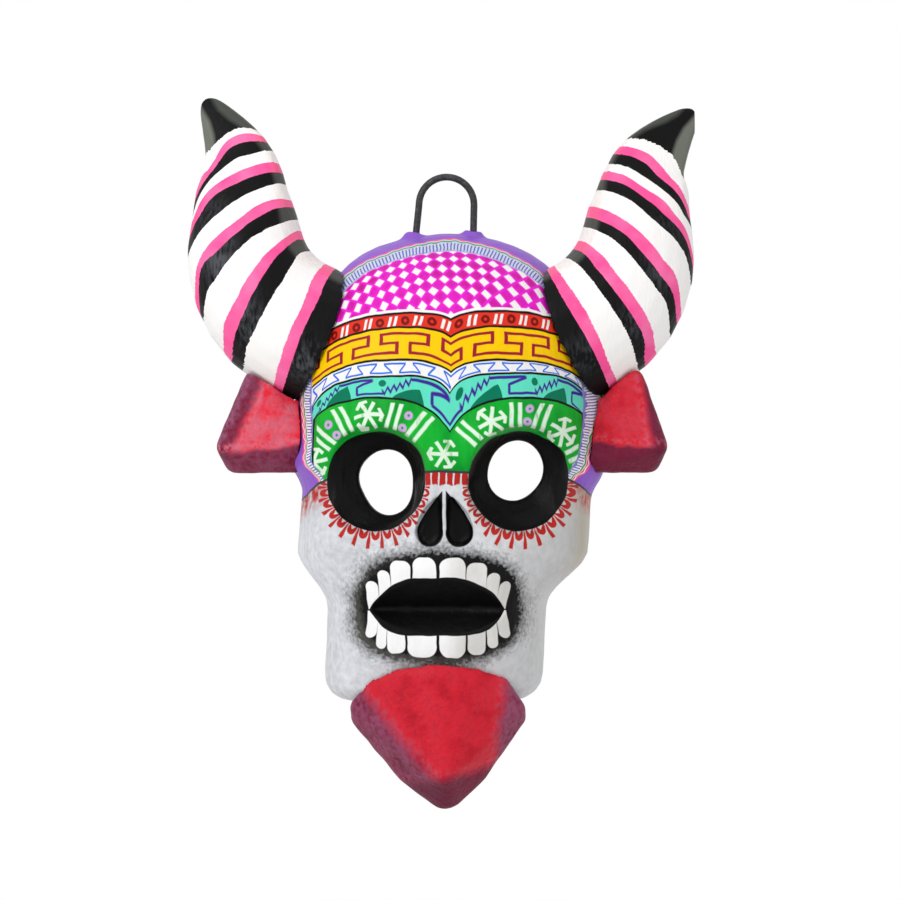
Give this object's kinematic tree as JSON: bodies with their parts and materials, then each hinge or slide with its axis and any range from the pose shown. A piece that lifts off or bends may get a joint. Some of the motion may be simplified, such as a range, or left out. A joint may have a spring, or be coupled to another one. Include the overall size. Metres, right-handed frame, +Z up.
{
  "type": "wall hanging",
  "caption": "Horned skull wall mask of painted clay, hollow and open at the back, with cut-through eyes, a V-cut mouth, ears, a chin beard and a wire hanging loop.",
  "frame": {"origin": "the point of the wall level with the underside of the hanging loop, where a nail enters the wall", "axes": "+Z up, +Y from the face into the wall, +X to the right of someone facing the mask; the back rim lies in the plane y = 0"},
  "size_m": [0.178, 0.0601, 0.2483],
  "materials": {
    "painted_clay": "fired clay with hand-painted acrylic bands, satin",
    "striped_clay": "fired clay painted in white, pink and black stripes, satin varnish",
    "red_clay": "rough fired clay, dry-brushed red over maroon, satin",
    "iron_wire": "black annealed iron wire"
  },
  "bodies": {
    "root": {"skull_shell": "painted_clay", "horn_left": "striped_clay", "horn_right": "striped_clay", "ear_left": "red_clay", "ear_right": "red_clay", "goatee": "red_clay", "hanger_loop": "iron_wire"}
  },
  "joints": []
}
